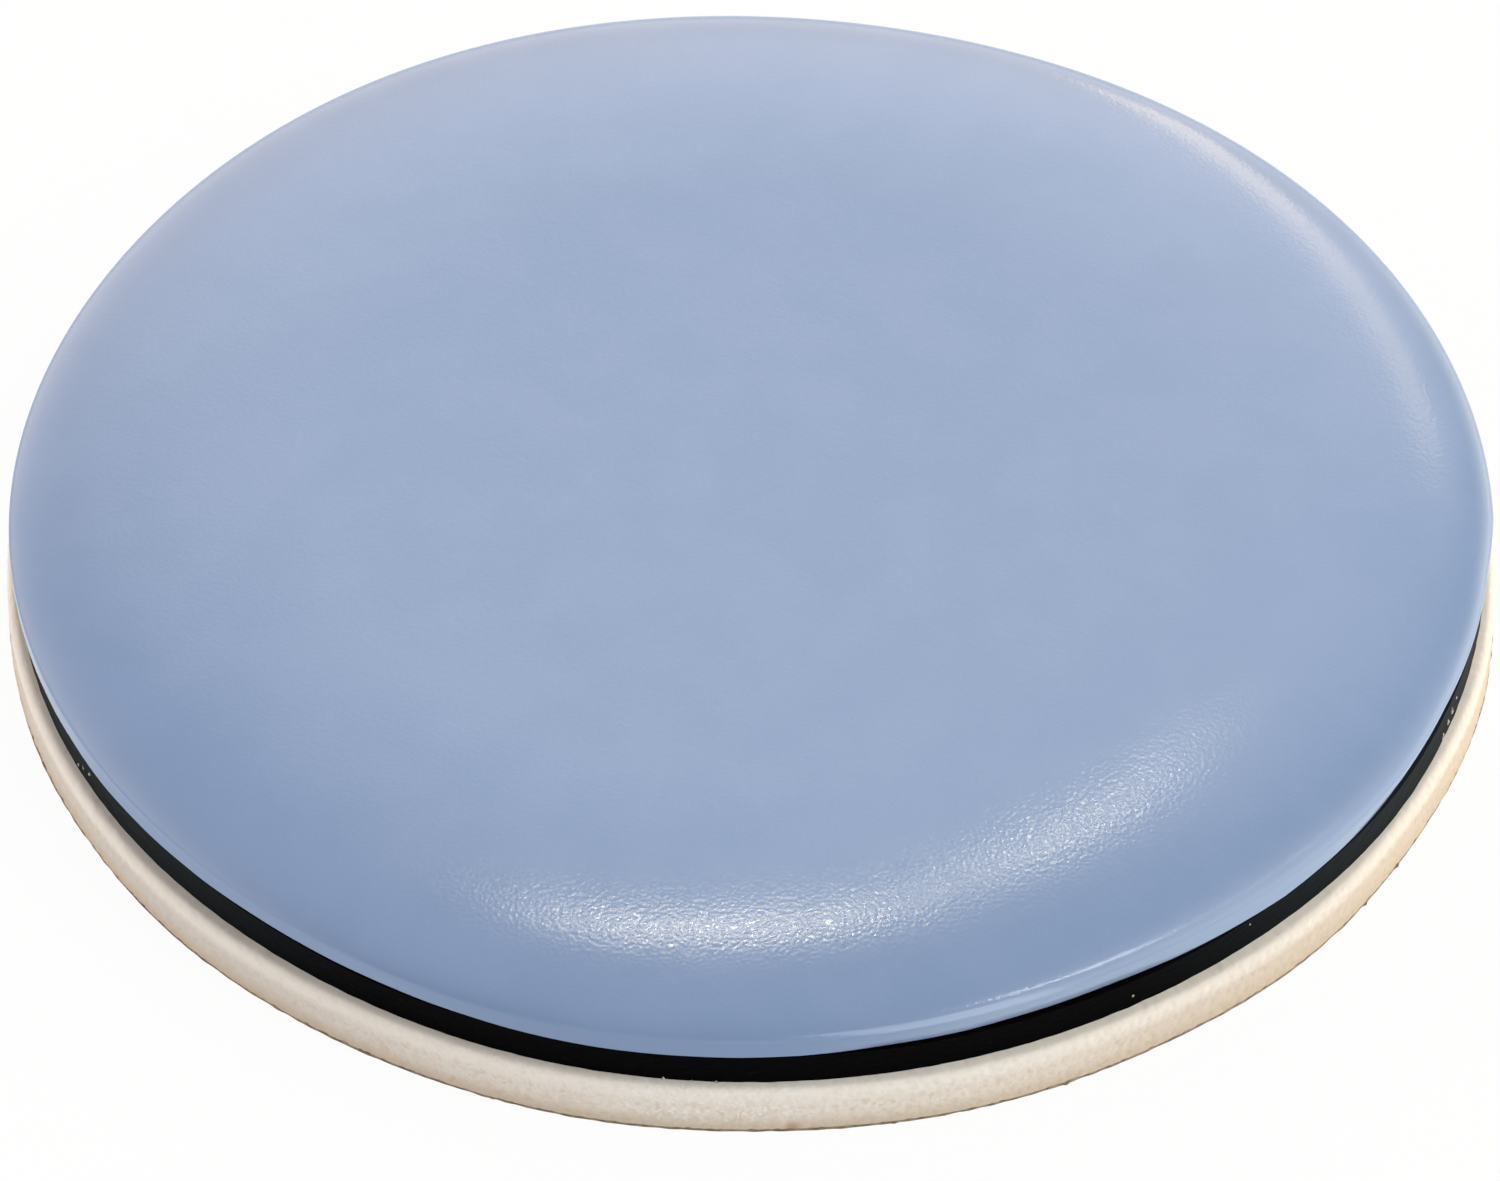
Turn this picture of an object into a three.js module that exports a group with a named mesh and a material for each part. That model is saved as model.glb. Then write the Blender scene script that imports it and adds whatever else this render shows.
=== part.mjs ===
// Self-adhesive furniture glide, a round laminate that lies with its gliding face up.
// A formed PTFE cap is filled by a rubber core, and the core stands on a foam pad whose
// adhesive underside is still covered by a paper release liner.
// Millimetres, +Z up. The origin is the centre of the liner's underside.

import * as THREE from 'three';

// Driving dimensions

const padDiameter = 50;
const linerThickness = 0.12;
const padThickness = 1.75;
const bandHeight = 1.15;
const flankHeight = 0.65;
const shoulderDrop = 1.33;

const capMargin = 0.3;
const capWall = 1.0;
const capTuck = 0.09;
const capEdgeRadius = 0.12;
const shoulderRun = 10.7;

const bandInset = 0.24;
const padEdgeRadius = 0.3;
const linerInset = 0.03;

// Smoothness of the round forms

const turnSteps = 96;
const shoulderSteps = 14;
const innerShoulderSteps = 7;
const edgeSteps = 3;

// Levels, from the liner's underside to the gliding face

const padBottom = linerThickness;
const padTop = padBottom + padThickness;
const capRim = padTop + bandHeight;
const widestLevel = capRim + flankHeight;
const glidingFace = widestLevel + shoulderDrop;
const coreTop = glidingFace - capWall;

// Radii

const padRadius = padDiameter / 2;
const linerRadius = padRadius - linerInset;
const capRadius = padRadius - capMargin;
const capRimRadius = capRadius - capTuck;
const bandRadius = capRadius - bandInset;
const flatRadius = capRadius - shoulderRun;
const coreRadius = capRadius - capWall;

// A quarter of an ellipse, from its lowest and widest point up to its crown.
function quarterEllipse(centreRadius, centreLevel, run, rise, steps) {
  const points = [];
  for (let step = 0; step <= steps; step += 1) {
    const turn = (step / steps) * (Math.PI / 2);
    const radius = centreRadius + run * Math.cos(turn);
    const level = centreLevel + rise * Math.sin(turn);
    points.push(new THREE.Vector2(radius, level));
  }
  return points;
}

// The rounded lower edge of the cap's rim, from its flat underside out to the flank.
function rimEdge() {
  const points = [];
  for (let step = 0; step <= edgeSteps; step += 1) {
    const turn = (step / edgeSteps) * (Math.PI / 2);
    const radius = capRimRadius - capEdgeRadius * (1 - Math.sin(turn));
    const level = capRim + capEdgeRadius * (1 - Math.cos(turn));
    points.push(new THREE.Vector2(radius, level));
  }
  return points;
}

// The inside of the cap, which is also the top of the core that fills it, from rim to crown.
function innerShoulder() {
  const rise = coreTop - widestLevel;
  const run = shoulderRun - capWall;
  return quarterEllipse(flatRadius, widestLevel, run, rise, innerShoulderSteps);
}

function onAxis(level) {
  return new THREE.Vector2(0, level);
}

// A profile of radius and level, from the axis at the bottom round to the axis at the top.
function revolve(profile) {
  const geometry = new THREE.LatheGeometry(profile, turnSteps);
  geometry.rotateX(Math.PI / 2);
  return geometry;
}

function finish(colour, roughness) {
  return new THREE.MeshStandardMaterial({ color: colour, roughness, metalness: 0 });
}

function namedMesh(name, geometry, material) {
  const mesh = new THREE.Mesh(geometry, material);
  mesh.name = name;
  return mesh;
}

// The blue-grey cap is a dished shell: a flat gliding face, a broad elliptical shoulder and a
// short flank that draws in a little towards its trimmed rim.
function ptfeCap() {
  const inside = innerShoulder().reverse();
  const outside = quarterEllipse(flatRadius, widestLevel, shoulderRun, shoulderDrop, shoulderSteps);
  const rimInside = new THREE.Vector2(coreRadius, capRim);
  const profile = [
    onAxis(coreTop),
    ...inside,
    rimInside,
    ...rimEdge(),
    ...outside,
    onAxis(glidingFace),
  ];
  return namedMesh('ptfe_cap', revolve(profile), finish(0x9fb1cd, 0.35));
}

// The black core fills the cap, and below the rim it steps out to the band that shows.
function rubberCore() {
  const profile = [
    onAxis(padTop),
    new THREE.Vector2(bandRadius, padTop),
    new THREE.Vector2(bandRadius, capRim),
    new THREE.Vector2(coreRadius, capRim),
    ...innerShoulder(),
    onAxis(coreTop),
  ];
  return namedMesh('rubber_core', revolve(profile), finish(0x121316, 0.5));
}

// The cream pad is a closed-cell foam disc with a soft upper edge.
function foamPad() {
  const edge = quarterEllipse(
    padRadius - padEdgeRadius,
    padTop - padEdgeRadius,
    padEdgeRadius,
    padEdgeRadius,
    edgeSteps,
  );
  const profile = [
    onAxis(padBottom),
    new THREE.Vector2(padRadius, padBottom),
    ...edge,
    onAxis(padTop),
  ];
  return namedMesh('foam_pad', revolve(profile), finish(0xe2d6c6, 0.9));
}

// The release liner is a paper disc, cut with the pad, that covers the adhesive.
function releaseLiner() {
  const profile = [
    onAxis(0),
    new THREE.Vector2(linerRadius, 0),
    new THREE.Vector2(linerRadius, linerThickness),
    onAxis(linerThickness),
  ];
  return namedMesh('release_liner', revolve(profile), finish(0xa58f78, 0.85));
}

const glide = new THREE.Group();
glide.add(releaseLiner());
glide.add(foamPad());
glide.add(rubberCore());
glide.add(ptfeCap());

export default glide;
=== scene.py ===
import math

import bmesh
import bpy
import numpy as np
from mathutils import Matrix, Vector


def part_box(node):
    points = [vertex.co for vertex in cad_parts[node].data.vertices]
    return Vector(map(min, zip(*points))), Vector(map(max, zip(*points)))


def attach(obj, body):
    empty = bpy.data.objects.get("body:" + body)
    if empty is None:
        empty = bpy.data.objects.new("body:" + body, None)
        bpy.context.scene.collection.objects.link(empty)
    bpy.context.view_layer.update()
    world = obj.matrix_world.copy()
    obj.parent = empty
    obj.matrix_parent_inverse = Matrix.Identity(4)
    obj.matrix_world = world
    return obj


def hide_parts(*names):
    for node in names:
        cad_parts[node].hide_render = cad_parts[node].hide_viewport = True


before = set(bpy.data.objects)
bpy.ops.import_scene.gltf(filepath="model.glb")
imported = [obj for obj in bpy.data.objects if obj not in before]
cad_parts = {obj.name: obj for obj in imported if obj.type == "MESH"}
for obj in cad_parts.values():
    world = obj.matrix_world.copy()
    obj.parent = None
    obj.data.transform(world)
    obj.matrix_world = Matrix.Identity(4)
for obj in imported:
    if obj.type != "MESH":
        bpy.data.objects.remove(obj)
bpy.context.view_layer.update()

MM = 0.001

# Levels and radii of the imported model

cap_low, cap_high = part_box("ptfe_cap")
_, core_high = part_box("rubber_core")
pad_low, pad_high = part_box("foam_pad")
liner_low, liner_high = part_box("release_liner")

GLIDING_FACE = cap_high.z
CAP_RIM = cap_low.z
CORE_TOP = core_high.z
PAD_TOP = pad_high.z
PAD_BOTTOM = pad_low.z
LINER_BOTTOM = liner_low.z
CAP_RADIUS = cap_high.x
BAND_RADIUS = core_high.x
PAD_RADIUS = pad_high.x
LINER_RADIUS = liner_high.x
CAP_WALL = GLIDING_FACE - CORE_TOP

# The cap's profile

SHOULDER_RUN = 10.7 * MM
FLANK_HEIGHT = 0.65 * MM
CAP_TUCK = 0.09 * MM
CAP_EDGE_RADIUS = 0.12 * MM
WIDEST_LEVEL = CAP_RIM + FLANK_HEIGHT
FLAT_RADIUS = CAP_RADIUS - SHOULDER_RUN
CORE_RADIUS = CAP_RADIUS - CAP_WALL

# The formed outline isn't quite round. Each lobe has its count round the disc, its height in
# millimetres and the direction of one peak in degrees.

OUTLINE_INSET = 0.04 * MM
OUTLINE_LOBES = (
    (1, 0.05, 18),
    (2, 0.18, 355),
    (3, 0.09, 10),
    (4, 0.05, 5),
    (5, 0.09, 335),
)

# The rim is trimmed in long straight snips with small corners between them. Each corner has its
# direction in degrees and how far it stands out or in, in millimetres. A snip that cuts deep
# also draws in the widest outline above it, by this share.

TRIM_CORNERS = (
    (30, 0.0),
    (120, 0.03),
    (200, 0.06),
    (212, 0.14),
    (242, 0.06),
    (252, 0.12),
    (274, 0.1),
    (280, 0.02),
    (299, 0.01),
    (315, 0.16),
    (330, -0.07),
    (338, -0.3),
    (353, -0.3),
    (359, -0.03),
)
SNIP_INTO_SHOULDER = 0.5
SMALL_SNIPS = 90
SMALL_SNIP_DEPTH = 0.015 * MM
SMALL_SNIP_SHIFT = 0.8
SMALL_SNIP_SEED = 17

# Random waves round the disc: the seed of the draw, then the fewest and the most waves. Each has
# its height below it.

RIM_LEVEL_WAVES = (11, 5, 24)
RIM_LEVEL_RIPPLE = 0.015 * MM
BAND_WAVES = (12, 3, 12)
BAND_RIPPLE = 0.015 * MM
PAD_WAVES = (7, 3, 14)
PAD_RIPPLE = 0.03 * MM
LINER_TEETH = (21, 40, 240)
LINER_TEETH_DEPTH = 0.011 * MM
LINER_WAVES = (22, 4, 20)
LINER_RIPPLE = 0.008 * MM

# The black band follows the cap's outline in part, and is pressed out a little. It and the pad
# sit slightly to the right of the cap. Each row of the band is uneven in its own way.

BAND_SPREAD = 0.15 * MM
BAND_FOLLOWS = 0.38
BAND_TO_RIGHT = 0.065 * MM
BAND_GRAIN_SEED = 30
BAND_GRAIN_WAVES = (60, 200)
BAND_GRAIN_DEPTH = 0.006 * MM

# The foam pad and its cells. The wall of a cell is a range of distance from its centre, in cell
# sizes. The other shares are of the depth of the deepest cell.

PAD_EDGE_RADIUS = 0.3 * MM
PAD_SPREAD = 0.05 * MM
PAD_TO_RIGHT = 0.08 * MM
CELL_SIZE = 0.27 * MM
CELL_DEPTH = 0.05 * MM
CELL_SEED = 5
CELL_WALL = (0.15, 0.75)
CELL_SHALLOWEST = 0.25
CELL_LEVEL = 0.5
CELL_WALL_HEIGHT = 0.3
ROWS_OF_CELLS_SPARE = 4

# Crumbs of foam on the black band and on the pad's upper ledge. Each has its direction in
# degrees, then its level, its width and its height in millimetres.

BAND_CRUMBS = (
    (338.3, 2.06, 0.16, 0.26),
    (339.4, 2.31, 0.12, 0.2),
    (340.3, 2.49, 0.14, 0.24),
    (341.5, 2.6, 0.09, 0.14),
    (311.5, 2.81, 0.06, 0.06),
    (300.5, 2.33, 0.07, 0.1),
    (206.2, 2.1, 0.1, 0.14),
    (207.1, 2.3, 0.08, 0.16),
    (208.3, 2.46, 0.11, 0.12),
)
LEDGE_CRUMBS = (
    (259.9, 1.88, 0.06, 0.14),
    (263.9, 1.9, 0.07, 0.2),
    (266.0, 1.88, 0.05, 0.14),
    (267.8, 1.89, 0.06, 0.16),
)
LEDGE_CRUMBS_OUT = 0.06 * MM
CRUMB_SEED = 29
CRUMB_LUMPS = 0.45
CRUMB_THICKNESS = 0.35
CRUMB_LEAN = 0.5

# The liner shows past the pad. Each burr of its edge has its direction in degrees and its length
# in millimetres. The edge is rounded at these shares of its height.

LINER_SHOWS = 0.045 * MM
LINER_BURRS = ((294.3, 0.05), (323.8, 0.06), (328.5, 0.05), (251.0, 0.04), (281.0, 0.04))
BURR_WIDTH = math.radians(0.2)
LINER_ROUNDING = 0.02 * MM
LINER_SHARES = (0, 0.15, 0.5, 0.85, 1)

# Smoothness of the skins

CAP_COLUMNS = 1080
CORE_COLUMNS = 1080
PAD_COLUMNS = 1900
LINER_COLUMNS = 2880
INNER_SHOULDER_ROWS = 8
SHOULDER_ROWS = 46
SHOULDER_CROWDING = 1.5
FLANK_ROWS = 12
RIM_EDGE_ROWS = 5
BAND_ROWS = 18
PAD_SIDE_ROWS = 26
CRUMB_SUBDIVISIONS = 2
SHARP_ANGLE = math.radians(50)

# Colours, linear

BLUE = (0.236, 0.339, 0.541)
BLUE_PALE = (0.248, 0.35, 0.556)
BLUE_RIM = (0.227, 0.338, 0.555)
BLUE_PAINTED_SHEEN = (0.32, 0.43, 0.63)
BLACK = (0.0014, 0.0014, 0.0018)
BLACK_DUSTY = (0.004, 0.004, 0.005)
BLACK_PAINTED_SHEEN = (0.0125, 0.017, 0.02)
CREAM = (0.86, 0.79, 0.69)
CREAM_PALE = (1.0, 0.98, 0.91)
CREAM_PINK = (0.94, 0.84, 0.75)
CREAM_RIGHT_SHADE = (0.71, 0.6, 0.48)
CREAM_DARK = (0.66, 0.55, 0.4)
CREAM_GREY = (0.64, 0.62, 0.57)
CREAM_PAINTED_GLINT = (1.0, 0.99, 0.96)
CRUMB = (0.5, 0.44, 0.36)
STAIN = (0.56, 0.33, 0.17)
# The liner's edge colours hold painted shade; the face colour is the paper's own.
PAPER_EDGE_SHADE = (0.2, 0.15, 0.1)
PAPER_EDGE_SHADE_PALE = (0.38, 0.3, 0.21)
PAPER_FACE = (0.5, 0.42, 0.33)
WHITE = (1.0, 1.0, 1.0)

# Finishes. A pair such as CLOUDS is the size and the detail of a noise. A range says where a
# change starts and ends and, where it has four numbers, its first and last value.

EVEN_RANGE = (0.35, 0.65)

PTFE_IOR = 1.46
CLOUDS = (3 * MM, 4)
RIM_RANGE = (WIDEST_LEVEL + 0.25 * MM, WIDEST_LEVEL + 0.1 * MM)
# This range and the next place the painted sheen on the cap's lower edge at the right.
SHEEN_LEVEL_RANGE = (WIDEST_LEVEL + 0.3 * MM, WIDEST_LEVEL + 0.05 * MM)
SHEEN_SIDE_RANGE = (2 * MM, 9 * MM)
GLOSSY_SPOTS = (0.12 * MM, 0)
GLOSSY_RANGE = (0.5, 0.72, 0.15, 0.08)
GRAIN = (0.13 * MM, 0)
GRAIN_DEPTH = 0.0035 * MM
WAVES = (1.8 * MM, 1)
WAVE_DEPTH = 0.0025 * MM

RUBBER_ROUGHNESS = 0.45
RUBBER_SPECULAR = 0.015
DUST = (0.25 * MM, 3)
DUST_RANGE = (0.58, 0.8)
BAND_FRONT = (0, -BAND_RADIUS, PAD_TOP)
# Where the painted sheen on the band's sides starts and ends
BAND_SHEEN_RANGE = (12 * MM, 24 * MM)
RUBBER_GRAIN = (0.15 * MM, 3)
RUBBER_GRAIN_DEPTH = 0.012 * MM

FOAM_ROUGHNESS = 0.85
FOAM_SPECULAR = 0.3
FOAM_CELLS = (0.3 * MM, 4)
FOAM_CELLS_RANGE = (0.36, 0.64)
BLUSH = (0.6 * MM, 2)
BLUSH_RANGE = (0.45, 0.65, 0.0, 0.5)
PATCHES = (0.3 * MM, 3)
PATCHES_RANGE = (0.5, 0.66, 0.0, 0.5)
# Painted shade on the pad's left side, then on its right side
LEFT_SHADE_RANGE = (-4 * MM, -21 * MM, 0.0, 0.75)
RIGHT_SHADE_RANGE = (2 * MM, 20 * MM, 0.0, 0.85)
# Painted shade towards the pad's bottom
FOOT_SHADE_RANGE = (PAD_BOTTOM + 0.8 * MM, PAD_BOTTOM, 0.0, 0.75)
# Painted light on the pad's upper, rounded edge
UPPER_LIGHT_RANGE = (PAD_TOP - 0.8 * MM, PAD_TOP - 0.3 * MM, 0.0, 0.55)
# Painted shadow on the pad's ledge under the black band
LEDGE_SHADOW_RANGE = (PAD_TOP - 0.05 * MM, PAD_TOP, 0.0, 0.3)
FOAM_GRAIN = (0.09 * MM, 2)
FOAM_GRAIN_DEPTH = 0.012 * MM

CRUMB_ROUGHNESS = 0.8
TORN = (0.08 * MM, 2)
CRUMB_GRAIN = (0.05 * MM, 2)
CRUMB_GRAIN_DEPTH = 0.01 * MM

LINER_ROUGHNESS = 0.9
FIBRES = (0.3 * MM, 4)
FACE_RANGE = (LINER_RADIUS - 0.1 * MM, LINER_RADIUS - 0.4 * MM, 0.0, 0.8)
LINER_GRAIN = (0.06 * MM, 2)
LINER_GRAIN_DEPTH = 0.006 * MM

# Painted glints: a brighter, speckled place at the pad's upper front edge

GLINT_PLACE = (-1.0 * MM, -PAD_RADIUS, PAD_TOP - 0.35 * MM)
GLINT_PLACE_RANGE = (4.5 * MM, 1.35 * MM)
GLINT_NOISE = (0.15 * MM, 1)
GLINT_NOISE_RANGE = (0.55, 0.65)

# A brown stain at the foot of the pad

STAIN_DIRECTION = math.radians(273.5)
STAIN_PLACE = (
    PAD_RADIUS * math.cos(STAIN_DIRECTION),
    PAD_RADIUS * math.sin(STAIN_DIRECTION),
    0.2 * MM,
)
STAIN_RANGE = (0.4 * MM, 0, 0.0, 0.8)

# The camera, as fitted to the photograph

IMAGE_WIDTH = 1500
SENSOR_WIDTH = 36
PIXELS_PER_MM = 29.586
CAMERA_DISTANCE = 350 * MM
CAMERA_ELEVATION = math.radians(44.942)
CAMERA_ROLL = math.radians(-0.357)
CAMERA_TO_RIGHT = 0.035 * MM
CAMERA_TO_TOP = -0.308 * MM
CAMERA_CLIP = 0.01

# Soft lights of the sky: azimuth, elevation and half angle in degrees, then the radiance

SKY_LIGHTS = (
    (96, 37, 44, (2.6, 2.5, 2.35)),
    (-72, 4, 60, (2.55, 2.25, 2.1)),
    (7, 39, 24, (1.2, 1.35, 1.6)),
    (-4, 11, 42, (2.2, 1.75, 1.35)),
    (52, 2, 34, (3.1, 2.7, 1.9)),
    (180, 4, 38, (1.3, 1.3, 1.4)),
)
SKY_REST = (0.08, 0.08, 0.08)

# Lamps: azimuth, elevation, width, height and tilt in degrees, then the radiance and the colour.
# The last one lights gloss only. It is the bright strip that the cap's lower edge mirrors.

WARM = (1.0, 0.88, 0.66)
WARMER = (1.0, 0.78, 0.5)
COOL = (0.93, 0.95, 1.0)
LAMPS = (
    ("front_arc_lamp", -1.5, 58.7, 7.5, 1.6, 14, 28, WARM),
    ("arc_middle_lamp", 6.7, 56, 3, 1.6, 40, 2.5, WARM),
    ("arc_tail_lamp", 9.3, 53.6, 3.4, 1.6, 66, 18, WARM),
    ("arc_end_lamp", 10.8, 51.4, 3, 1.8, 62, 4.5, WARM),
    ("back_arc_lamp", 12.6, 20, 14, 4, -73, 3.6, WARMER),
    ("back_arc_end_lamp", 18.6, 32, 13, 4.5, -60, 2.6, WARMER),
    ("right_line_lamp", 102, 65, 13, 5, -37, 10, COOL),
    ("right_line_end_lamp", 76, 55, 12, 4, -37, 1.6, COOL),
)
GLOSS_LAMP = ("front_right_lamp", 149, 26, 26, 64, 0, 4, COOL)
LAMP_DISTANCE = 2.0

# The floor

FLOOR_SIZE = 6.0
FLOOR_GAP = 0.005 * MM
FLOOR_WHITE = 0.95
FLOOR_COLOUR = (0.92, 0.92, 0.92)


def ripple(angle, seed, lowest, highest):
    """A smooth random wave round the disc, about one unit high, made of whole-numbered waves."""
    dice = np.random.default_rng(seed)
    total = np.zeros_like(angle)
    for order in range(lowest, highest + 1):
        total += dice.normal() * np.cos(order * angle + dice.uniform(0, 2 * math.pi))
    return total / math.sqrt(highest - lowest + 1)


def long_snips(angle):
    directions = [math.radians(direction) for direction, _ in TRIM_CORNERS]
    heights = [height * MM for _, height in TRIM_CORNERS]
    return np.interp(angle, directions, heights, period=2 * math.pi)


def trim_wave(angle):
    """How far the trimmed rim stands out or in: long snips, with smaller ones on top."""
    turn = 2 * math.pi
    dice = np.random.default_rng(SMALL_SNIP_SEED)
    shifts = dice.uniform(0, SMALL_SNIP_SHIFT, SMALL_SNIPS)
    corners = (np.arange(SMALL_SNIPS) + shifts) * turn / SMALL_SNIPS
    depths = dice.uniform(-1, 1, SMALL_SNIPS) * SMALL_SNIP_DEPTH
    return long_snips(angle) + np.interp(angle, corners, depths, period=turn)


def outline(angle):
    """How far the cap's widest outline stands outside its circle."""
    total = np.full_like(angle, -OUTLINE_INSET)
    for count, height, peak in OUTLINE_LOBES:
        total += height * MM * np.cos(count * (angle - math.radians(peak)))
    return total + SNIP_INTO_SHOULDER * np.minimum(long_snips(angle), 0)


def columns(count):
    return np.arange(count) * (2 * math.pi / count)


def smooth_step(value, start, end):
    share = np.clip((value - start) / (end - start), 0, 1)
    return share * share * (3 - 2 * share)


def ring(angle, radius, level):
    """One ring of a skin: its radius and level at every column."""
    return np.broadcast_to(radius, angle.shape), np.broadcast_to(level, angle.shape)


def ring_faces(count, rows):
    """The quads between the rings, then a fan to the lower middle and one to the upper middle."""
    here = np.arange(count)
    after = (here + 1) % count
    faces = []
    for row in range(rows - 1):
        low = row * count
        high = low + count
        quads = np.stack([low + here, low + after, high + after, high + here], axis=-1)
        faces.extend(quads.tolist())
    last = (rows - 1) * count
    low_pole = rows * count
    high_pole = low_pole + 1
    low_fan = np.stack([after, here, np.full(count, low_pole)], axis=-1)
    high_fan = np.stack([last + here, last + after, np.full(count, high_pole)], axis=-1)
    return faces + low_fan.tolist() + high_fan.tolist()


def new_piece(name, vertices, faces):
    mesh = bpy.data.meshes.new(name)
    mesh.from_pydata(vertices, [], faces)
    piece = bpy.data.objects.new(name, mesh)
    bpy.context.scene.collection.objects.link(piece)
    return piece


def skin(name, angle, rings, bottom, top):
    """A closed body of revolution, from its lower middle out and up to its upper middle."""
    radius = np.array([r for r, _ in rings])
    level = np.array([z for _, z in rings])
    points = np.stack([radius * np.cos(angle), radius * np.sin(angle), level], axis=-1)
    poles = np.array([[0, 0, bottom], [0, 0, top]])
    vertices = np.concatenate([points.reshape(-1, 3), poles])
    piece = new_piece(name, vertices.tolist(), ring_faces(len(angle), len(rings)))
    piece.data.shade_smooth()
    piece.data.set_sharp_from_angle(angle=SHARP_ANGLE)
    return piece


def declare(piece, node, material):
    piece.data.materials.append(material)
    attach(piece, "root")
    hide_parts(node)


# The cap


def rim_level(angle):
    """The level of the cap's trimmed lower edge."""
    return CAP_RIM + RIM_LEVEL_RIPPLE * ripple(angle, *RIM_LEVEL_WAVES)


def rim_radius(angle):
    return CAP_RADIUS + outline(angle) - CAP_TUCK + trim_wave(angle)


def inner_shoulder(angle):
    """The inside of the cap, from its crown down to the widest level."""
    rings = []
    for row in range(INNER_SHOULDER_ROWS + 1):
        turn = (1 - row / INNER_SHOULDER_ROWS) * math.pi / 2
        radius = FLAT_RADIUS + (CORE_RADIUS - FLAT_RADIUS) * math.cos(turn)
        level = WIDEST_LEVEL + (CORE_TOP - WIDEST_LEVEL) * math.sin(turn)
        rings.append(ring(angle, radius, level))
    return rings


def rim_edge(angle):
    """The rounded lower edge of the cap, from its underside out to the flank."""
    rings = []
    for row in range(RIM_EDGE_ROWS + 1):
        turn = row / RIM_EDGE_ROWS * math.pi / 2
        radius = rim_radius(angle) - CAP_EDGE_RADIUS * (1 - math.sin(turn))
        level = rim_level(angle) + CAP_EDGE_RADIUS * (1 - math.cos(turn))
        rings.append(ring(angle, radius, level))
    return rings


def flank(angle):
    """The short flank, drawn in towards the rim and upright at the widest level."""
    rings = []
    painted_foot_shade = rim_level(angle) + CAP_EDGE_RADIUS
    widest = CAP_RADIUS + outline(angle)
    for row in range(1, FLANK_ROWS):
        share = row / FLANK_ROWS
        ease = 1 - (1 - share) ** 2
        radius = rim_radius(angle) + (widest - rim_radius(angle)) * ease
        level = painted_foot_shade + (WIDEST_LEVEL - painted_foot_shade) * share
        rings.append(ring(angle, radius, level))
    return rings


def shoulder(angle):
    """The quarter ellipse from the widest level to the flat, with closer rows near the flank."""
    rings = []
    run = SHOULDER_RUN + outline(angle)
    for row in range(SHOULDER_ROWS + 1):
        turn = (row / SHOULDER_ROWS) ** SHOULDER_CROWDING * math.pi / 2
        radius = FLAT_RADIUS + run * math.cos(turn)
        level = WIDEST_LEVEL + (GLIDING_FACE - WIDEST_LEVEL) * math.sin(turn)
        rings.append(ring(angle, radius, level))
    return rings


def ptfe_cap():
    angle = columns(CAP_COLUMNS)
    rings = inner_shoulder(angle)
    rings.append(ring(angle, CORE_RADIUS, rim_level(angle)))
    rings += rim_edge(angle) + flank(angle) + shoulder(angle)
    piece = skin("cap_skin", angle, rings, CORE_TOP, GLIDING_FACE)
    declare(piece, "ptfe_cap", ptfe_finish())


# The core


def band_radius(angle):
    """The soft black edge is pressed out a little by the cap above it."""
    follows = BAND_FOLLOWS * outline(angle)
    shift = BAND_TO_RIGHT * np.cos(angle)
    spread_out = BAND_SPREAD + shift + BAND_RIPPLE * ripple(angle, *BAND_WAVES)
    return BAND_RADIUS + spread_out + follows


def rubber_core():
    """The core fills the cap. The band of it that shows is slightly uneven, as a cut edge is."""
    angle = columns(CORE_COLUMNS)
    radius = band_radius(angle)
    rings = []
    for row in range(BAND_ROWS + 1):
        level = PAD_TOP + (rim_level(angle) - PAD_TOP) * row / BAND_ROWS
        grain = BAND_GRAIN_DEPTH * ripple(angle, BAND_GRAIN_SEED + row, *BAND_GRAIN_WAVES)
        rings.append(ring(angle, radius + grain, level))
    rings.append(ring(angle, CORE_RADIUS, rim_level(angle)))
    rings += inner_shoulder(angle)[::-1]
    piece = skin("core_skin", angle, rings, PAD_TOP, CORE_TOP)
    declare(piece, "rubber_core", rubber_finish())


# The pad


def cell_distance(along, up, length):
    """Distance from each point of an unrolled band to its nearest cell centre, in cell sizes.

    Also gives a random number for that cell. The band closes on itself after its length.
    """
    around = round(length / CELL_SIZE)
    size = length / around
    tall = int(up.max() / size) + ROWS_OF_CELLS_SPARE
    dice = np.random.default_rng(CELL_SEED)
    shift = dice.uniform(-0.5, 0.5, (2, tall, around))
    value = dice.uniform(0, 1, (tall, around))
    x = along / size
    y = up / size + 1
    column = np.floor(x).astype(int)
    row = np.floor(y).astype(int)
    nearest = np.full(x.shape, np.inf)
    found = np.zeros(x.shape)
    for step_x in (-1, 0, 1):
        for step_y in (-1, 0, 1):
            i = (column + step_x) % around
            j = np.clip(row + step_y, 0, tall - 1)
            dx = column + step_x + 0.5 + shift[0, j, i] - x
            dy = row + step_y + 0.5 + shift[1, j, i] - y
            distance = np.hypot(dx, dy)
            closer = distance < nearest
            nearest = np.where(closer, distance, nearest)
            found = np.where(closer, value[j, i], found)
    return nearest, found


def pad_profile():
    """Up the pad's side and round its soft upper edge: radius, level, turn and way along it."""
    straight = PAD_TOP - PAD_EDGE_RADIUS - PAD_BOTTOM
    arc = PAD_EDGE_RADIUS * math.pi / 2
    points = []
    for way in np.linspace(0, straight + arc, PAD_SIDE_ROWS + 1):
        turn = max(0.0, way - straight) / PAD_EDGE_RADIUS
        radius = PAD_RADIUS - PAD_EDGE_RADIUS * (1 - math.cos(turn))
        level = PAD_BOTTOM + min(way, straight) + PAD_EDGE_RADIUS * math.sin(turn)
        points.append((radius, level, turn, way))
    return points


def pad_bulge(angle):
    """How far the pad, and the liner cut with it, stand outside their circles."""
    shift = PAD_TO_RIGHT * np.cos(angle)
    return PAD_SPREAD + shift + PAD_RIPPLE * ripple(angle, *PAD_WAVES)


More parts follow.
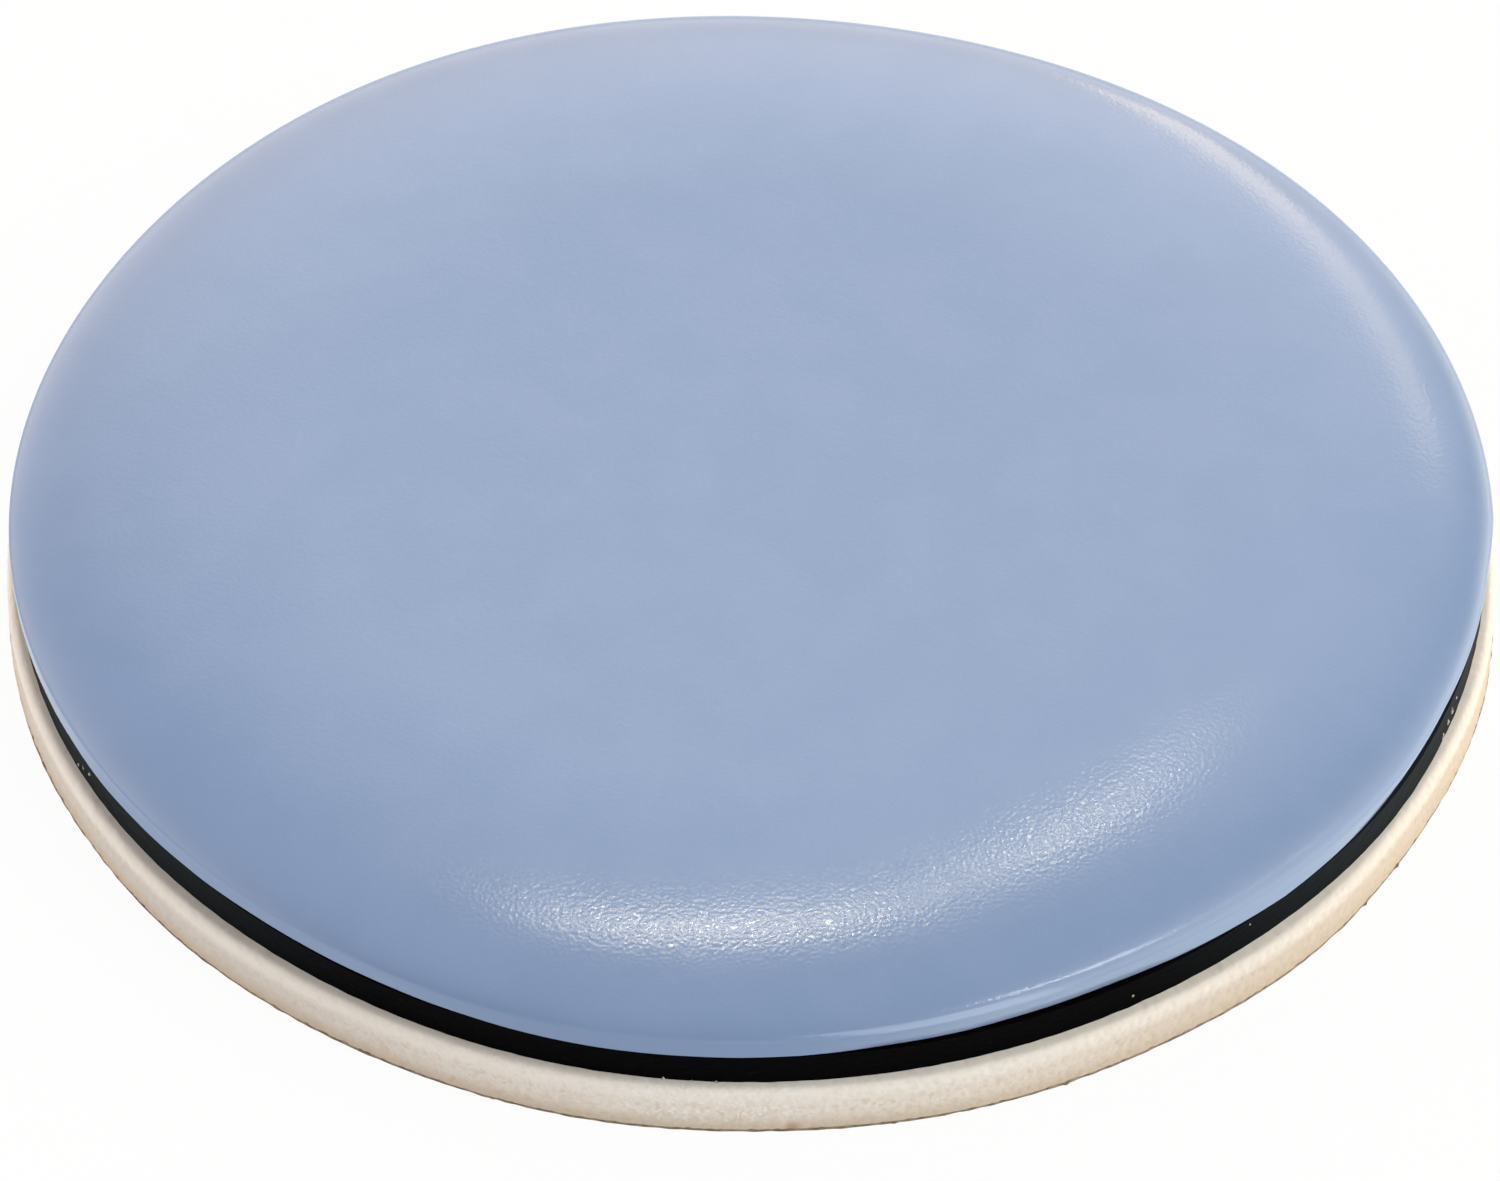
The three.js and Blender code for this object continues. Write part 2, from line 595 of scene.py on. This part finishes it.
def cell_pits(angle, ways):
    """How deep the cells sink below their mean level, row by row, with walls that stand out."""
    along = np.broadcast_to(angle * PAD_RADIUS, (len(ways), len(angle)))
    up = np.broadcast_to(np.array(ways)[:, None], along.shape)
    distance, value = cell_distance(along, up, 2 * math.pi * PAD_RADIUS)
    depth = CELL_DEPTH * (CELL_SHALLOWEST + (1 - CELL_SHALLOWEST) * value)
    pit = depth * (1 - smooth_step(distance, *CELL_WALL))
    return np.maximum(pit - CELL_LEVEL * CELL_DEPTH, -CELL_WALL_HEIGHT * CELL_DEPTH)


def foam_pad():
    """The side of the foam is a field of small cells that the cut has opened."""
    angle = columns(PAD_COLUMNS)
    profile = pad_profile()
    pits = cell_pits(angle, [way for _, _, _, way in profile])
    bulge = pad_bulge(angle)
    rings = []
    for sunk, (radius, level, turn, _) in zip(pits, profile):
        out = bulge - sunk * math.cos(turn)
        down = -np.maximum(sunk, 0) * math.sin(turn)
        rings.append(ring(angle, radius + out, level + down))
    piece = skin("foam_skin", angle, rings, PAD_BOTTOM, PAD_TOP)
    declare(piece, "foam_pad", foam_finish())


# The liner


def release_liner():
    """A paper disc whose cut edge is slightly ragged."""
    angle = columns(LINER_COLUMNS)
    teeth = LINER_TEETH_DEPTH * ripple(angle, *LINER_TEETH)
    ragged = teeth + LINER_RIPPLE * ripple(angle, *LINER_WAVES)
    for direction, length in LINER_BURRS:
        off = (angle - math.radians(direction)) / BURR_WIDTH
        ragged = ragged + length * MM * np.exp(-off * off)
    radius = LINER_RADIUS + LINER_SHOWS + pad_bulge(angle) + ragged
    thickness = PAD_BOTTOM - LINER_BOTTOM
    rings = []
    for share in LINER_SHARES:
        rounding = LINER_ROUNDING * abs(2 * share - 1) ** 3
        rings.append(ring(angle, radius - rounding, LINER_BOTTOM + thickness * share))
    piece = skin("liner_skin", angle, rings, LINER_BOTTOM, PAD_BOTTOM)
    declare(piece, "release_liner", liner_finish())


# The crumbs


def crumb_ball():
    """The points and faces of one small ball, from which each crumb is bent."""
    ball = bmesh.new()
    bmesh.ops.create_icosphere(ball, subdivisions=CRUMB_SUBDIVISIONS, radius=1)
    points = np.array([vertex.co[:] for vertex in ball.verts])
    faces = np.array([[vertex.index for vertex in face.verts] for face in ball.faces])
    ball.free()
    return points, faces


def crumb_points(ball, crumb, outward, dice):
    """One crumb, lumpy and leaning a little, with its middle on the band or outward of it."""
    direction, level, wide, tall = crumb
    angle = math.radians(direction)
    lumps = 1 + CRUMB_LUMPS * dice.uniform(-1, 1, (len(ball), 1))
    size = np.array([CRUMB_THICKNESS * wide, wide / 2, tall / 2]) * MM
    bent = ball * lumps * size
    lean = dice.uniform(-CRUMB_LEAN, CRUMB_LEAN)
    along = bent[:, 1] * math.cos(lean) - bent[:, 2] * math.sin(lean)
    upward = bent[:, 1] * math.sin(lean) + bent[:, 2] * math.cos(lean)
    out = band_radius(np.array([angle]))[0] + outward + bent[:, 0]
    x = out * math.cos(angle) - along * math.sin(angle)
    y = out * math.sin(angle) + along * math.cos(angle)
    return np.stack([x, y, level * MM + upward], axis=-1)


def crumbs():
    """Torn crumbs of foam, each pressed partly into the surface it sticks to."""
    dice = np.random.default_rng(CRUMB_SEED)
    ball, ball_faces = crumb_ball()
    vertices = [crumb_points(ball, crumb, 0, dice) for crumb in BAND_CRUMBS]
    vertices += [crumb_points(ball, crumb, LEDGE_CRUMBS_OUT, dice) for crumb in LEDGE_CRUMBS]
    faces = [ball_faces + len(ball) * count for count in range(len(vertices))]
    points = np.concatenate(vertices).tolist()
    piece = new_piece("foam_crumbs", points, np.concatenate(faces).tolist())
    piece.data.materials.append(crumb_finish())
    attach(piece, "root")


# Steps of a material


def new_material(name):
    made = bpy.data.materials.new(name)
    made.use_nodes = True
    return made, made.node_tree, made.node_tree.nodes["Principled BSDF"]


def own_space(tree):
    """The place of a point in the object's own space."""
    return tree.nodes.new("ShaderNodeTexCoord").outputs["Object"]


def noise(tree, size, detail):
    """Noise in the object's own space. Its spots come out about three times this size."""
    made = tree.nodes.new("ShaderNodeTexNoise")
    made.inputs["Scale"].default_value = 1 / size
    made.inputs["Detail"].default_value = detail
    tree.links.new(own_space(tree), made.inputs["Vector"])
    return made.outputs["Fac"]


def place_part(tree, part):
    """The X, Y or Z of a point in the object's own space."""
    parts = tree.nodes.new("ShaderNodeSeparateXYZ")
    tree.links.new(own_space(tree), parts.inputs["Vector"])
    return parts.outputs[part]


def distance_to(tree, centre):
    """How far a point lies from this place in the object's own space."""
    made = tree.nodes.new("ShaderNodeVectorMath")
    made.operation = "DISTANCE"
    made.inputs[1].default_value = centre
    tree.links.new(own_space(tree), made.inputs[0])
    return made.outputs["Value"]


def spread(tree, value, low, high, start=0.0, end=1.0):
    """Maps a value from the range low to high onto the range start to end."""
    made = tree.nodes.new("ShaderNodeMapRange")
    made.interpolation_type = "SMOOTHSTEP"
    made.inputs["From Min"].default_value = low
    made.inputs["From Max"].default_value = high
    made.inputs["To Min"].default_value = start
    made.inputs["To Max"].default_value = end
    tree.links.new(value, made.inputs["Value"])
    return made.outputs["Result"]


def number_step(tree, operation, first, second):
    """A product or maximum. The second input is a number or the output of a node."""
    made = tree.nodes.new("ShaderNodeMath")
    made.operation = operation
    tree.links.new(first, made.inputs[0])
    if isinstance(second, float):
        made.inputs[1].default_value = second
    else:
        tree.links.new(second, made.inputs[1])
    return made.outputs[0]


def vector_step(tree, operation, first, second):
    """A sum, dot product or scaling. Each input is a plain vector or the output of a node."""
    made = tree.nodes.new("ShaderNodeVectorMath")
    made.operation = operation
    socket = made.inputs["Scale"] if operation == "SCALE" else made.inputs[1]
    for target, value in ((made.inputs[0], first), (socket, second)):
        if isinstance(value, (tuple, Vector)):
            target.default_value = value
        else:
            tree.links.new(value, target)
    return made.outputs["Value"] if operation == "DOT_PRODUCT" else made.outputs["Vector"]


def mix(tree, share, first, second):
    """Mixes two colours, each a plain colour or the output of a node."""
    made = tree.nodes.new("ShaderNodeMix")
    made.data_type = "RGBA"
    tree.links.new(share, made.inputs[0])
    for socket, colour in ((made.inputs[6], first), (made.inputs[7], second)):
        if isinstance(colour, tuple):
            socket.default_value = (*colour, 1)
        else:
            tree.links.new(colour, socket)
    return made.outputs[2]


def bump(tree, shader, height, depth, before=None):
    """A bump of this depth in metres, on top of the one before it."""
    made = tree.nodes.new("ShaderNodeBump")
    made.inputs["Strength"].default_value = 1
    made.inputs["Distance"].default_value = depth
    tree.links.new(height, made.inputs["Height"])
    if before is not None:
        tree.links.new(before, made.inputs["Normal"])
    tree.links.new(made.outputs["Normal"], shader.inputs["Normal"])
    return made.outputs["Normal"]


# The finishes


def ptfe_colour(tree):
    """Faint clouds, a bluer edge painted as shade where it mirrors less white, and a painted
    sheen: a paler lower edge at the right.
    """
    clouds = spread(tree, noise(tree, *CLOUDS), *EVEN_RANGE)
    # Painted shade: the edge is coloured bluer where it mirrors less white light.
    rim = spread(tree, place_part(tree, "Z"), *RIM_RANGE)
    bluer_edge_shade = mix(tree, rim, mix(tree, clouds, BLUE, BLUE_PALE), BLUE_RIM)
    # Painted sheen: the lower edge at the right is coloured paler, as if it mirrored a bright
    # strip.
    painted_sheen = spread(tree, place_part(tree, "Z"), *SHEEN_LEVEL_RANGE)
    to_right = spread(tree, place_part(tree, "X"), *SHEEN_SIDE_RANGE)
    return mix(tree, number_step(tree, "MULTIPLY", painted_sheen, to_right), bluer_edge_shade, BLUE_PAINTED_SHEEN)


def ptfe_finish():
    """Waxy blue-grey, with the fine grain that breaks up a highlight."""
    material, tree, shader = new_material("blue_grey_ptfe")
    tree.links.new(ptfe_colour(tree), shader.inputs["Base Color"])
    shader.inputs["IOR"].default_value = PTFE_IOR
    glossy_spots = spread(tree, noise(tree, *GLOSSY_SPOTS), *GLOSSY_RANGE)
    tree.links.new(glossy_spots, shader.inputs["Roughness"])
    grain = bump(tree, shader, noise(tree, *GRAIN), GRAIN_DEPTH)
    bump(tree, shader, noise(tree, *WAVES), WAVE_DEPTH, grain)
    return material


def rubber_finish():
    """Satin black with a little pale dust from the foam, and a painted sheen: paler away from the
    front, where the band is seen at a slant.
    """
    material, tree, shader = new_material("black_rubber")
    dust = spread(tree, noise(tree, *DUST), *DUST_RANGE)
    # Painted sheen: the band is coloured paler away from its front.
    painted_sheen_share = spread(tree, distance_to(tree, BAND_FRONT), *BAND_SHEEN_RANGE)
    colour = mix(tree, painted_sheen_share, mix(tree, dust, BLACK, BLACK_DUSTY), BLACK_PAINTED_SHEEN)
    tree.links.new(colour, shader.inputs["Base Color"])
    shader.inputs["Roughness"].default_value = RUBBER_ROUGHNESS
    shader.inputs["Specular IOR Level"].default_value = RUBBER_SPECULAR
    bump(tree, shader, noise(tree, *RUBBER_GRAIN), RUBBER_GRAIN_DEPTH)
    return material


def foam_mottling(tree):
    """Cream, mottled by its cells, with pinker and darker patches.

    Painted shade: greyer on the left, darker and warmer on the right.
    """
    cells = spread(tree, noise(tree, *FOAM_CELLS), *FOAM_CELLS_RANGE)
    mottled = mix(tree, cells, CREAM, CREAM_PALE)
    blush = spread(tree, noise(tree, *BLUSH), *BLUSH_RANGE)
    warmed = mix(tree, blush, mottled, CREAM_PINK)
    patches = spread(tree, noise(tree, *PATCHES), *PATCHES_RANGE)
    stained = mix(tree, patches, warmed, CREAM_DARK)
    # Painted shade: the sides are coloured as light falls on them.
    painted_left_shade = spread(tree, place_part(tree, "X"), *LEFT_SHADE_RANGE)
    painted_right_shade = spread(tree, place_part(tree, "X"), *RIGHT_SHADE_RANGE)
    return mix(tree, painted_right_shade, mix(tree, painted_left_shade, stained, CREAM_GREY), CREAM_RIGHT_SHADE)


def foam_zones(tree, mottling):
    """Painted light above: paler, with painted glints at the front. Painted shade: darker towards
    the bottom and grey on the ledge under the band. One stain.
    """
    # Painted shade: the pad is coloured darker towards its bottom.
    painted_foot_shade = spread(tree, place_part(tree, "Z"), *FOOT_SHADE_RANGE)
    # Painted light: the upper edge, which faces the light, is coloured paler.
    painted_upper_light = spread(tree, place_part(tree, "Z"), *UPPER_LIGHT_RANGE)
    painted_lit_top = mix(tree, painted_upper_light, mottling, CREAM_PALE)
    # Painted glints: near-white specks at the pad's upper front edge.
    glint_noise = spread(tree, noise(tree, *GLINT_NOISE), *GLINT_NOISE_RANGE)
    glint_place = spread(tree, distance_to(tree, GLINT_PLACE), *GLINT_PLACE_RANGE)
    painted_glints = number_step(tree, "MULTIPLY", glint_noise, glint_place)
    glinting = mix(tree, painted_glints, painted_lit_top, CREAM_PAINTED_GLINT)
    # Painted shadow: the ledge under the black band is coloured grey.
    painted_ledge_shadow = spread(tree, place_part(tree, "Z"), *LEDGE_SHADOW_RANGE)
    shaded_foot_and_ledge = mix(tree, painted_ledge_shadow, mix(tree, painted_foot_shade, glinting, CREAM_DARK), CREAM_GREY)
    spot = spread(tree, distance_to(tree, STAIN_PLACE), *STAIN_RANGE)
    return mix(tree, spot, shaded_foot_and_ledge, STAIN)


def foam_finish():
    material, tree, shader = new_material("cream_foam")
    colour = foam_zones(tree, foam_mottling(tree))
    tree.links.new(colour, shader.inputs["Base Color"])
    shader.inputs["Roughness"].default_value = FOAM_ROUGHNESS
    shader.inputs["Specular IOR Level"].default_value = FOAM_SPECULAR
    bump(tree, shader, noise(tree, *FOAM_GRAIN), FOAM_GRAIN_DEPTH)
    return material


def crumb_finish():
    """Loose foam, paler where it is torn."""
    material, tree, shader = new_material("foam_crumb")
    torn = spread(tree, noise(tree, *TORN), *EVEN_RANGE)
    colour = mix(tree, torn, CRUMB, CREAM_GREY)
    tree.links.new(colour, shader.inputs["Base Color"])
    shader.inputs["Roughness"].default_value = CRUMB_ROUGHNESS
    bump(tree, shader, noise(tree, *CRUMB_GRAIN), CRUMB_GRAIN_DEPTH)
    return material


def liner_finish():
    """Brown-grey paper with fibrous mottling; its edge is painted darker, a painted contact
    shadow along the floor.
    """
    material, tree, shader = new_material("liner_paper")
    fibres = spread(tree, noise(tree, *FIBRES), *EVEN_RANGE)
    face = spread(tree, distance_to(tree, (0, 0, 0)), *FACE_RANGE)
    # Painted shade: all but the underside face is coloured darker.
    colour = mix(tree, face, mix(tree, fibres, PAPER_EDGE_SHADE, PAPER_EDGE_SHADE_PALE), PAPER_FACE)
    tree.links.new(colour, shader.inputs["Base Color"])
    shader.inputs["Roughness"].default_value = LINER_ROUGHNESS
    bump(tree, shader, noise(tree, *LINER_GRAIN), LINER_GRAIN_DEPTH)
    return material


# Camera, light and floor


def camera():
    cos_up = math.cos(CAMERA_ELEVATION)
    sin_up = math.sin(CAMERA_ELEVATION)
    back = Vector((0, -cos_up, sin_up))
    right = Vector((1, 0, 0))
    top = Vector((0, sin_up, cos_up))
    place = CAMERA_DISTANCE * back + CAMERA_TO_RIGHT * right + CAMERA_TO_TOP * top
    cos_roll = math.cos(CAMERA_ROLL)
    sin_roll = math.sin(CAMERA_ROLL)
    rolled_right = cos_roll * right - sin_roll * top
    rolled_top = sin_roll * right + cos_roll * top
    data = bpy.data.cameras.new("camera")
    data.sensor_width = SENSOR_WIDTH
    data.lens = PIXELS_PER_MM * CAMERA_DISTANCE / MM / IMAGE_WIDTH * SENSOR_WIDTH
    data.clip_start = CAMERA_CLIP
    made = bpy.data.objects.new("camera", data)
    turned = Matrix((rolled_right, rolled_top, back)).transposed()
    made.matrix_world = Matrix.Translation(place) @ turned.to_4x4()
    bpy.context.scene.collection.objects.link(made)
    bpy.context.scene.camera = made


def sky_direction(azimuth, elevation):
    """Azimuth 0 is behind the glide and turns to the right."""
    a = math.radians(azimuth)
    e = math.radians(elevation)
    return Vector((math.sin(a) * math.cos(e), math.cos(a) * math.cos(e), math.sin(e)))


def soft_lamp(name, azimuth, elevation, wide, tall, tilt, radiance, colour):
    """A lamp that fills this many degrees of sky, as seen from the glide, and faces it.

    A positive tilt lowers its right end. Radiance 1 is a white surface.
    """
    way = sky_direction(azimuth, elevation)
    data = bpy.data.lights.new(name, "AREA")
    data.shape = "RECTANGLE"
    data.size = 2 * LAMP_DISTANCE * math.tan(math.radians(wide / 2))
    data.size_y = 2 * LAMP_DISTANCE * math.tan(math.radians(tall / 2))
    data.energy = radiance * math.pi * data.size * data.size_y
    data.color = colour
    made = bpy.data.objects.new(name, data)
    spin = Matrix.Rotation(math.radians(tilt), 4, "Z")
    facing = way.to_track_quat("Z", "Y").to_matrix().to_4x4()
    made.matrix_world = Matrix.Translation(LAMP_DISTANCE * way) @ facing @ spin
    made.visible_camera = False
    bpy.context.scene.collection.objects.link(made)
    return made


def lamps():
    for lamp in LAMPS:
        soft_lamp(*lamp)
    gloss_lamp = soft_lamp(*GLOSS_LAMP)
    gloss_lamp.visible_diffuse = False


def ray_kinds(tree):
    """Two outputs: 1 for a ray from the camera or through glass, and 1 for a mirrored ray."""
    path = tree.nodes.new("ShaderNodeLightPath").outputs
    direct = number_step(tree, "MAXIMUM", path["Is Camera Ray"], path["Is Transmission Ray"])
    return direct, path["Is Glossy Ray"]


def studio_world():
    """Soft lights in a dim studio. The camera sees plain white."""
    world = bpy.data.worlds.new("studio")
    bpy.context.scene.world = world
    world.use_nodes = True
    tree = world.node_tree
    background = tree.nodes["Background"]
    way = tree.nodes.new("ShaderNodeTexCoord").outputs["Generated"]
    sky = SKY_REST
    for azimuth, elevation, half_angle, radiance in SKY_LIGHTS:
        towards = vector_step(tree, "DOT_PRODUCT", way, sky_direction(azimuth, elevation))
        share = spread(tree, towards, math.cos(math.radians(half_angle)), 1)
        light = vector_step(tree, "SCALE", radiance, share)
        sky = vector_step(tree, "ADD", light, sky)
    direct, _ = ray_kinds(tree)
    tree.links.new(mix(tree, direct, sky, WHITE), background.inputs["Color"])


def floor_finish():
    """A white floor that keeps a faint part of the shadow."""
    made = bpy.data.materials.new("white_floor")
    made.use_nodes = True
    tree = made.node_tree
    tree.nodes.clear()
    surface = tree.nodes.new("ShaderNodeBsdfDiffuse")
    surface.inputs["Color"].default_value = (*FLOOR_COLOUR, 1)
    glow = tree.nodes.new("ShaderNodeEmission")
    direct, mirrored = ray_kinds(tree)
    either = number_step(tree, "MAXIMUM", direct, mirrored)
    share = number_step(tree, "MULTIPLY", either, FLOOR_WHITE)
    blend = tree.nodes.new("ShaderNodeMixShader")
    output = tree.nodes.new("ShaderNodeOutputMaterial")
    tree.links.new(share, blend.inputs[0])
    tree.links.new(surface.outputs[0], blend.inputs[1])
    tree.links.new(glow.outputs[0], blend.inputs[2])
    tree.links.new(blend.outputs[0], output.inputs["Surface"])
    return made


def floor():
    half = FLOOR_SIZE / 2
    corners = [(-half, -half, 0), (half, -half, 0), (half, half, 0), (-half, half, 0)]
    made = new_piece("floor", corners, [(0, 1, 2, 3)])
    made.location.z = LINER_BOTTOM - FLOOR_GAP
    made.data.materials.append(floor_finish())


camera()
studio_world()
lamps()
floor()
ptfe_cap()
rubber_core()
foam_pad()
release_liner()
crumbs()

bpy.context.scene.view_settings.view_transform = "Standard"
